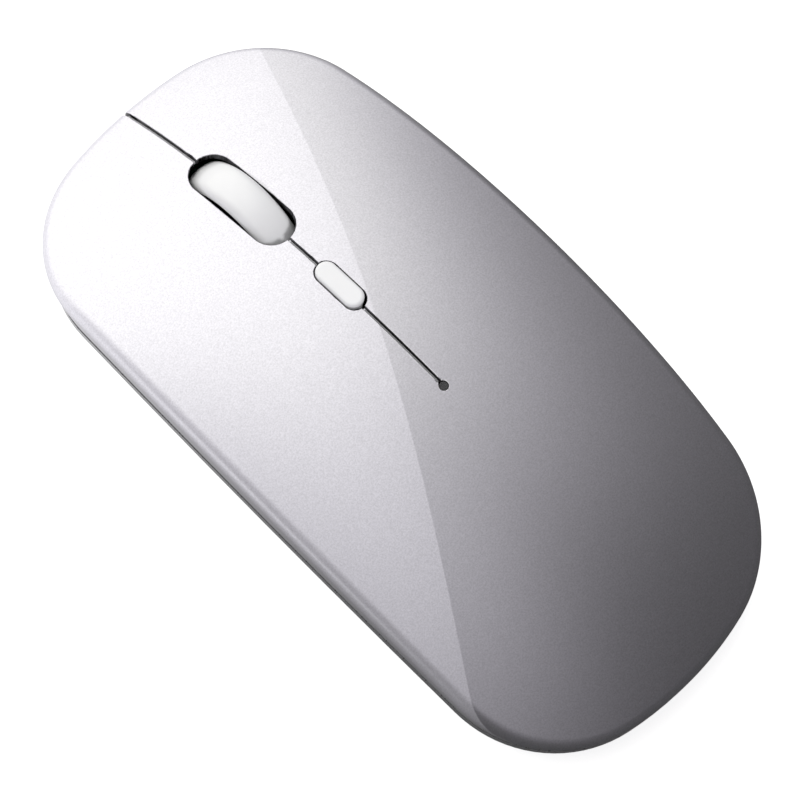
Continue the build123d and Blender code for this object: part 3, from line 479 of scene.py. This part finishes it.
def coil(name, centre, height, radius, wire, turns, material):
    """A wound spring of radius and wire radius, standing on centre, with closed wire ends."""
    shell, rows, around, steps = Shell(), [], 10, 28      # sides of the wire, steps in a turn
    rise = (height - 2 * wire) / (2 * pi * turns)
    for k in range(turns * steps + 1):
        t = 2 * pi * k / steps
        out, up = np.array([cos(t), sin(t), 0.0]), np.array([0, 0, 1.0])
        up = unit(up - rise / radius * np.array([-sin(t), cos(t), 0.0]))
        middle = np.array(centre) + radius * out + np.array([0, 0, wire + rise * t])
        rows.append([(middle + wire * m, m) for m in
                     (cos(2 * pi * j / around) * out + sin(2 * pi * j / around) * up for j in range(around))])
    for a, b in zip(rows, rows[1:]):
        for j in range(around):
            shell.face([a[j - 1], a[j], b[j], b[j - 1]])
    for end, other in ((rows[0], rows[1]), (rows[-1], rows[-2])):
        way = unit(end[0][0] - other[0][0])
        shell.face([(p, way) for p, _ in end])
    return shell.build(name, material)


# ---------------------------------------------------------------- materials
class Nodes:
    """A short way to write a material's nodes."""

    def __init__(self, name):
        self.material = bpy.data.materials.new(name)
        self.material.use_nodes = True
        self.tree = self.material.node_tree
        self.shader = self.tree.nodes["Principled BSDF"]
        self.place = self.tree.nodes.new("ShaderNodeTexCoord").outputs["Object"]

    def link(self, a, b):
        self.tree.links.new(a, b)

    def noise(self, scale, detail=2.0, rough=0.5):
        n = self.tree.nodes.new("ShaderNodeTexNoise")
        n.inputs["Scale"].default_value = scale
        n.inputs["Detail"].default_value = detail
        n.inputs["Roughness"].default_value = rough
        self.link(self.place, n.inputs["Vector"])
        return n.outputs["Fac"]

    def spread(self, value, lo, hi, from_lo=0.3, from_hi=0.7):
        n = self.tree.nodes.new("ShaderNodeMapRange")
        n.inputs["From Min"].default_value = from_lo
        n.inputs["From Max"].default_value = from_hi
        n.inputs["To Min"].default_value = lo
        n.inputs["To Max"].default_value = hi
        self.link(value, n.inputs["Value"])
        return n.outputs["Result"]

    def mix(self, factor, a, b):
        """a and b are colours, or sockets."""
        n = self.tree.nodes.new("ShaderNodeMix")
        n.data_type = "RGBA"
        self.link(factor, n.inputs["Factor"])
        for socket, value in ((n.inputs[6], a), (n.inputs[7], b)):
            if isinstance(value, tuple):
                socket.default_value = (*value, 1.0)
            else:
                self.link(value, socket)
        return n.outputs[2]

    def bump(self, height, strength, depth, under=None):
        n = self.tree.nodes.new("ShaderNodeBump")
        n.inputs["Strength"].default_value = strength
        n.inputs["Distance"].default_value = depth
        self.link(height, n.inputs["Height"])
        if under is not None:
            self.link(under, n.inputs["Normal"])
        return n.outputs["Normal"]

    def worn(self):
        """1 on convex edges, 0 elsewhere."""
        g = self.tree.nodes.new("ShaderNodeNewGeometry")
        return self.spread(g.outputs["Pointiness"], 0.0, 1.0, 0.505, 0.56)

    def set(self, **values):
        for name, value in values.items():
            socket = self.shader.inputs[name.replace("_", " ")]
            if isinstance(value, bpy.types.NodeSocket):
                self.link(value, socket)
            else:
                socket.default_value = value
        return self.material


def shade(colour, by):
    return tuple(min(1.0, c * by) for c in colour)


def satin_paint(name, colour, metallic, rough, grain=1.0, fleck=4200, coat=0.0, relief=False):
    """Metallic paint: bright and dark flakes over a faint mottle, with relief and a satin coat or without."""
    m = Nodes(name)
    flakes = m.noise(fleck, 2.0, 0.75)
    mottle = m.noise(700, 3.0)
    flecked = m.mix(m.spread(flakes, 0.0, 1.0, 0.32, 0.68), shade(colour, 1 - 0.13 * grain),
                    shade(colour, 1 + 0.11 * grain))
    toned = m.mix(m.spread(mottle, 0.0, 0.12), flecked, shade(colour, 0.9))
    rough_value = m.spread(m.noise(2600, 2.0), rough - 0.035, rough + 0.035)
    if relief:
        ripple = m.bump(m.noise(900, 2.0), 0.10, 0.00002)
        m.set(Normal=m.bump(flakes, 0.16, 0.00002, under=ripple))
    return m.set(Base_Color=toned, Metallic=metallic, Roughness=rough_value, Coat_Weight=coat,
                 Coat_Roughness=0.28)


def moulding(name, colour, rough=0.42, grain=3000, depth=0.00003, wear=1.25):
    """Moulded plastic: spark-eroded grain, a little uneven gloss, edges rubbed lighter."""
    m = Nodes(name)
    worn = m.worn()
    tone = m.mix(m.spread(m.noise(260, 3.0), 0.0, 1.0), shade(colour, 0.94), shade(colour, 1.05))
    tone = m.mix(worn, tone, shade(colour, wear))
    rough_value = m.spread(m.noise(1100, 3.0), rough - 0.05, rough + 0.06)
    normal = m.bump(m.noise(grain, 2.0), 0.25, depth)
    return m.set(Base_Color=tone, Roughness=rough_value, Normal=normal)


def gloss_white(name, colour):
    """Lacquered white: near mirror gloss with a faint orange-peel and a pearly sheen."""
    m = Nodes(name)
    tone = m.mix(m.spread(m.noise(320, 3.0), 0.0, 1.0), shade(colour, 0.975), shade(colour, 1.0))
    peel = m.bump(m.noise(520, 1.0), 0.06, 0.00003)
    rough_value = m.spread(m.noise(800, 2.0), 0.16, 0.24)
    return m.set(Base_Color=tone, Roughness=rough_value, Normal=peel, Coat_Weight=0.5,
                 Coat_Roughness=0.06, Sheen_Weight=0.05)


def metal(name, colour, rough=0.3, grain=(1500, 6000), depth=0.00001):
    """Rolled or turned metal: fine streaks in colour, gloss and height, with brighter edges."""
    m = Nodes(name)
    streak = m.noise(grain[1], 4.0)
    tone = m.mix(m.spread(streak, 0.0, 1.0), shade(colour, 0.86), shade(colour, 1.06))
    tone = m.mix(m.worn(), tone, shade(colour, 1.25))
    rough_value = m.spread(m.noise(grain[0], 3.0), rough - 0.07, rough + 0.1)
    return m.set(Base_Color=tone, Metallic=1.0, Roughness=rough_value,
                 Normal=m.bump(streak, 0.2, depth))


def circuit_board(name):
    """Green solder mask over copper runs, with a fine weave under it."""
    m = Nodes(name)
    runs = m.tree.nodes.new("ShaderNodeTexVoronoi")
    runs.feature, runs.distance = "F1", "CHEBYCHEV"
    runs.inputs["Scale"].default_value = 330
    m.link(m.place, runs.inputs["Vector"])
    edge = m.spread(runs.outputs["Distance"], 0.0, 1.0, 0.30, 0.36)
    mask = m.mix(m.spread(m.noise(2400, 2.0), 0.0, 1.0), (0.010, 0.075, 0.035), (0.014, 0.095, 0.045))
    tone = m.mix(edge, mask, (0.022, 0.16, 0.075))
    normal = m.bump(edge, 0.3, 0.00003)
    rough_value = m.spread(m.noise(900, 2.0), 0.26, 0.36)
    return m.set(Base_Color=tone, Roughness=rough_value, Normal=normal, Coat_Weight=0.4,
                 Coat_Roughness=0.15)


def clear(name, colour, rough=0.05):
    """Clear moulding with faint flow marks."""
    m = Nodes(name)
    tone = m.mix(m.spread(m.noise(400, 2.0), 0.0, 1.0), shade(colour, 0.96), colour)
    rough_value = m.spread(m.noise(700, 2.0), rough, rough + 0.05)
    normal = m.bump(m.noise(600, 1.0), 0.05, 0.00002)
    return m.set(Base_Color=tone, Roughness=rough_value, Normal=normal, Transmission_Weight=0.85,
                 IOR=1.49)


def printed_label(name):
    """Grey printed film with a fine matt grain and no lettering."""
    m = Nodes(name)
    tone = m.mix(m.spread(m.noise(1800, 2.0), 0.0, 1.0), (0.30, 0.30, 0.32), (0.36, 0.36, 0.38))
    rough_value = m.spread(m.noise(1200, 2.0), 0.45, 0.6)
    return m.set(Base_Color=tone, Roughness=rough_value, Normal=m.bump(m.noise(5000), 0.2, 0.00001))


MATERIALS = {
    "satin_silver": satin_paint("satin_silver", (0.705, 0.692, 0.745), 0.82, 0.36, coat=0.12, relief=True),
    "base_silver": satin_paint("base_silver", (0.74, 0.74, 0.76), 0.7, 0.3, grain=0.4, fleck=1100),
    "pearl_white": gloss_white("pearl_white", (0.93, 0.93, 0.955)),
    "dark_moulding": moulding("dark_moulding", (0.035, 0.035, 0.038)),
    "switch_black": moulding("switch_black", (0.022, 0.022, 0.024), rough=0.5),
    "switch_white": moulding("switch_white", (0.72, 0.71, 0.68), rough=0.4, wear=1.1),
    "board_green": circuit_board("board_green"),
    "chip_epoxy": moulding("chip_epoxy", (0.028, 0.028, 0.03), rough=0.62, grain=6000),
    "spring_steel": metal("spring_steel", (0.52, 0.52, 0.53), rough=0.28),
    "bright_steel": metal("bright_steel", (0.66, 0.66, 0.67), rough=0.22),
    "clear_lens": clear("clear_lens", (0.95, 0.96, 0.97)),
    "light_grey_lens": clear("light_grey_lens", (0.42, 0.42, 0.45), rough=0.2),
    "skate_dark": moulding("skate_dark", (0.045, 0.045, 0.05), rough=0.3, grain=1800, wear=1.5),
    "cell_foil": metal("cell_foil", (0.62, 0.63, 0.65), rough=0.38, grain=(420, 900), depth=0.00006),
    "foam_black": moulding("foam_black", (0.03, 0.03, 0.03), rough=0.85, grain=2200, depth=0.0001),
    "nickel_strip": metal("nickel_strip", (0.60, 0.58, 0.54), rough=0.3),
    "label_grey": printed_label("label_grey"),
}
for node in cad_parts.values():
    for held in node.material_slots:
        held.material = MATERIALS[held.material.name.split(".")[0]]


# ---------------------------------------------------------------- pieces
# The skins' second material, the dark moulding, covers their inner faces and cut walls; on the cut walls its
# darkness is partly painted shade.
palm = palm_skin("palm_part", MATERIALS["satin_silver"], MATERIALS["dark_moulding"])
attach(palm, "case")
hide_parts("palm_cover")
keys = []
for key_side, word in ((-1, "left"), (1, "right")):
    skin = key_skin(key_side, word + "_key_skin", MATERIALS["satin_silver"], MATERIALS["dark_moulding"])
    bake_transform(skin)
    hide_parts(word + "_key")
    keys.append(skin)

# The tongue's mid grey, darker than the paint, is painted shade for the shadow down in the groove.
tongue = groove_tongue("groove_tongue", moulding("groove_painted_shade", (0.46, 0.455, 0.48), rough=0.45))
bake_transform(tongue)


# What stands under the cover: a rib in each key over its switch, and four screw posts.
SWITCH_X, SWITCH_Y, PLUNGER_TOP = 16.0, 39.4, 11.35
RIB = [(-1.6, -1.0), (1.6, -1.0), (1.6, 1.0), (-1.6, 1.0)]
for key_side, word in ((-1, "left"), (1, "right")):
    rib = inner_features(word + "_key_rib", [((key_side * SWITCH_X, SWITCH_Y), RIB)], PLUNGER_TOP,
                         MATERIALS["dark_moulding"])
    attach(rib, word + "_key")
POSTS, POST_R, POST_FOOT = [(19.5, -13.0), (-19.5, -13.0), (16.5, -43.0), (-16.5, -43.0)], 2.8, 6.2
posts = inner_features("cover_posts", [(place, ring_of(POST_R)) for place in POSTS], POST_FOOT,
                       MATERIALS["dark_moulding"])
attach(posts, "case")

# The coil under the wheel's cradle. In the real mouse it shortens as the wheel is pressed; here it is fixed
# to the case and keeps its length.
coil_lo, coil_hi = (Vector(corner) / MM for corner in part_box("cradle_spring"))
coil_foot = ((coil_lo.x + coil_hi.x) / 2, (coil_lo.y + coil_hi.y) / 2, coil_lo.z)
COIL_R, WIRE_R, COIL_TURNS, COIL_KEEP = 1.8, 0.2, 6, 0.9
return_coil = coil("return_coil", coil_foot, coil_hi.z - coil_lo.z, COIL_R, WIRE_R, COIL_TURNS,
                   MATERIALS["spring_steel"])
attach(return_coil, "case")
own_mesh(return_coil)
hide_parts("cradle_spring")


# ---------------------------------------------------------------- floor, light and camera
FLOOR_HALF, FLOOR_GLOW = 2.5, 0.75
MIRRORED_WAY = (0.4, -0.9, 0.0)                  # the way in which the mirrored floor darkens
MIRRORED_MIDDLE, MIRRORED_FALL = 0.13, -33.0     # its level under the middle, and the exponent per metre
MIRRORED_LEAST, MIRRORED_MOST = 0.07, 0.95
SKY = [                                          # glows: strength, then gain against direction on X and Y
    (4.13, {
        "X": [(-1.0, 0.16), (-0.75, 0.27), (-0.5, 0.48), (-0.25, 0.7), (0.0, 0.95), (0.25, 0.98), (0.5, 0.79),
              (0.68, 0.43), (0.85, 0.21), (1.0, 0.12)],
        "Y": [(-1.0, 0.004), (-0.6, 0.0134), (-0.38, 0.0526), (-0.1, 0.126), (0.15, 0.263), (0.5, 0.518),
              (1.0, 0.99)],
    }),
    (0.51, {
        "X": [(-1.0, 0.0), (-0.75, 0.08), (-0.5, 0.9), (-0.2, 0.9), (0.0, 0.35), (0.15, 0.05), (0.3, 0.0),
              (1.0, 0.0)],
        "Y": [(-1.0, 0.05), (-0.8, 0.45), (-0.55, 0.9), (-0.3, 1.0), (-0.1, 0.85), (0.1, 0.45), (0.35, 0.05),
              (0.6, 0.0), (1.0, 0.0)],
    }),
]
SKY_CAP = 1.4
SKY_TINT = [(0.0, (0.97, 0.93, 1.20)), (0.3, (0.985, 0.965, 1.06)), (0.6, (1.0, 1.0, 0.975)),
            (1.0, (1.0, 1.005, 0.95))]
EDGE_PLACE, EDGE_AXIS = Vector((-0.722, 0.602, 0.746)), Vector((0.554, -0.473, -0.6851))
EDGE_CONE, EDGE_POWER = radians(11.34), 88.0
WHITE_PLACE, WHITE_SIZE, WHITE_POWER = (0.0, -0.72, 0.96), 0.15, 20.0
AZIMUTH, ELEVATION, ROLL, DISTANCE = radians(-59.71), radians(71.25), radians(15.0), 0.392
AIM, LENS, SENSOR, SHIFT = Vector((0, 0, 0.010)), 126.5, 36.0, (-0.0047, -0.0146)


def floor_material():
    """A white floor. What the mouse mirrors of it is darker to the rear right, and it is clear from below."""
    m = Nodes("studio_floor")
    tone = m.mix(m.spread(m.noise(30, 2.0), 0.0, 1.0), (0.90, 0.90, 0.905), (0.92, 0.92, 0.92))
    m.shader.inputs["Emission Color"].default_value = (1, 1, 1, 1)
    m.set(Base_Color=tone, Roughness=0.85, Emission_Strength=FLOOR_GLOW)
    across = m.tree.nodes.new("ShaderNodeVectorMath")
    across.operation = "DOT_PRODUCT"
    across.inputs[1].default_value = MIRRORED_WAY
    m.link(m.place, across.inputs[0])
    seen = m.tree.nodes.new("ShaderNodeEmission")
    fall, level = m.tree.nodes.new("ShaderNodeMath"), m.tree.nodes.new("ShaderNodeMath")
    fall.operation, fall.inputs[0].default_value = "POWER", exp(MIRRORED_FALL)
    m.link(across.outputs["Value"], fall.inputs[1])
    level.operation, level.inputs[1].default_value = "MULTIPLY", MIRRORED_MIDDLE
    m.link(fall.outputs[0], level.inputs[0])
    level = level.outputs[0]
    for operation, bound in (("MINIMUM", MIRRORED_MOST), ("MAXIMUM", MIRRORED_LEAST)):
        limit = m.tree.nodes.new("ShaderNodeMath")
        limit.operation, limit.inputs[1].default_value = operation, bound
        m.link(level, limit.inputs[0])
        level = limit.outputs[0]
    m.link(level, seen.inputs["Strength"])
    path = m.tree.nodes.new("ShaderNodeLightPath")
    both = m.tree.nodes.new("ShaderNodeMixShader")
    m.link(path.outputs["Is Camera Ray"], both.inputs["Fac"])
    m.link(seen.outputs[0], both.inputs[1])
    m.link(m.shader.outputs[0], both.inputs[2])
    from_below = m.tree.nodes.new("ShaderNodeMixShader")
    m.link(m.tree.nodes.new("ShaderNodeNewGeometry").outputs["Backfacing"], from_below.inputs["Fac"])
    m.link(both.outputs[0], from_below.inputs[1])
    m.link(m.tree.nodes.new("ShaderNodeBsdfTransparent").outputs[0], from_below.inputs[2])
    m.link(from_below.outputs[0], m.tree.nodes["Material Output"].inputs["Surface"])
    return m.material


def floor():
    mesh = bpy.data.meshes.new("floor")
    corners = [(x * FLOOR_HALF, y * FLOOR_HALF, 0) for x, y in ((-1, -1), (1, -1), (1, 1), (-1, 1))]
    mesh.from_pydata(corners, [], [(0, 1, 2, 3)])
    mesh.materials.append(floor_material())
    obj = bpy.data.objects.new("floor", mesh)
    bpy.context.scene.collection.objects.link(obj)


def level_ramp(tree, value, stops, lowest=-1.0):
    """A smooth curve drawn by stops, (place, level or colour) pairs, over lowest to 1."""
    scaled = tree.nodes.new("ShaderNodeMapRange")
    scaled.inputs["From Min"].default_value = lowest
    tree.links.new(value, scaled.inputs["Value"])
    ramp = tree.nodes.new("ShaderNodeValToRGB")
    ramp.color_ramp.interpolation = "B_SPLINE"
    while len(ramp.color_ramp.elements) < len(stops):
        ramp.color_ramp.elements.new(0.5)
    for element, (at, level) in zip(ramp.color_ramp.elements, stops):
        element.position = (at - lowest) / (1 - lowest)
        element.color = (*level, 1) if isinstance(level, tuple) else (level, level, level, 1)
    tree.links.new(scaled.outputs["Result"], ramp.inputs["Fac"])
    return ramp.outputs["Color"]


def studio_world():
    """A soft studio: bright in front and overhead, falling off, and bluer, to the rear and the right."""
    world = bpy.data.worlds.new("studio")
    bpy.context.scene.world = world
    world.use_nodes = True
    tree = world.node_tree
    place = tree.nodes.new("ShaderNodeTexCoord").outputs["Generated"]
    split = tree.nodes.new("ShaderNodeSeparateXYZ")
    tree.links.new(place, split.inputs[0])

    def combine(operation, a, b):
        node = tree.nodes.new("ShaderNodeMath")
        node.operation = operation
        for socket, value in zip(node.inputs, (a, b)):
            if isinstance(value, float):
                socket.default_value = value
            else:
                tree.links.new(value, socket)
        return node.outputs[0]

    glows = []
    for strength, curves in SKY:
        across, along = (level_ramp(tree, split.outputs[axis], stops) for axis, stops in curves.items())
        glows.append(combine("MULTIPLY", combine("MULTIPLY", across, along), strength))
    level = combine("MINIMUM", combine("ADD", *glows), SKY_CAP)
    back = tree.nodes["Background"]
    tint = level_ramp(tree, combine("DIVIDE", level, SKY_CAP), SKY_TINT, 0.0)
    tree.links.new(tint, back.inputs["Color"])
    tree.links.new(level, back.inputs["Strength"])


def light(name, kind, place, power, pieces, **settings):
    """A light that shines on some pieces only, and that their gloss doesn't show."""
    data = bpy.data.lights.new(name, kind)
    data.energy = power
    for key, value in settings.items():
        setattr(data, key, value)
    obj = bpy.data.objects.new(name, data)
    obj.location = place
    bpy.context.scene.collection.objects.link(obj)
    lit = bpy.data.collections.new("lit_by_" + name)
    for piece in pieces:
        lit.objects.link(piece)
    obj.light_linking.receiver_collection = lit
    obj.visible_glossy = False
    return obj


def edge_light():
    """A far narrow spot on the left side of the cover only: its rim draws the diagonal line of light."""
    spot = light("edge_light", "SPOT", EDGE_PLACE, EDGE_POWER, (palm, *keys, tongue), spot_size=EDGE_CONE,
                 spot_blend=0.0, shadow_soft_size=0.0)
    spot.rotation_euler = EDGE_AXIS.to_track_quat("-Z", "Y").to_euler()


def white_light():
    """A soft light from above and behind, for the white wheel and button."""
    whites = [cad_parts[name] for name in ("wheel_tyre", "dpi_button")]
    light("white_light", "POINT", WHITE_PLACE, WHITE_POWER, whites, shadow_soft_size=WHITE_SIZE)


def camera():
    back = Vector((sin(AZIMUTH) * cos(ELEVATION), -cos(AZIMUTH) * cos(ELEVATION), sin(ELEVATION)))
    level = Vector((cos(AZIMUTH), sin(AZIMUTH), 0))
    upright = back.cross(level)
    right = cos(ROLL) * level + sin(ROLL) * upright
    up = cos(ROLL) * upright - sin(ROLL) * level
    data = bpy.data.cameras.new("camera")
    data.lens, data.sensor_width = LENS, SENSOR
    data.shift_x, data.shift_y = SHIFT
    data.clip_start, data.clip_end = 0.01, 20.0
    obj = bpy.data.objects.new("camera", data)
    turn = Matrix((right, up, back)).transposed()
    obj.matrix_world = Matrix.Translation(AIM + back * DISTANCE) @ turn.to_4x4()
    bpy.context.scene.collection.objects.link(obj)
    bpy.context.scene.camera = obj


floor()
studio_world()
edge_light()
white_light()
camera()
bpy.context.scene.view_settings.view_transform = "Standard"
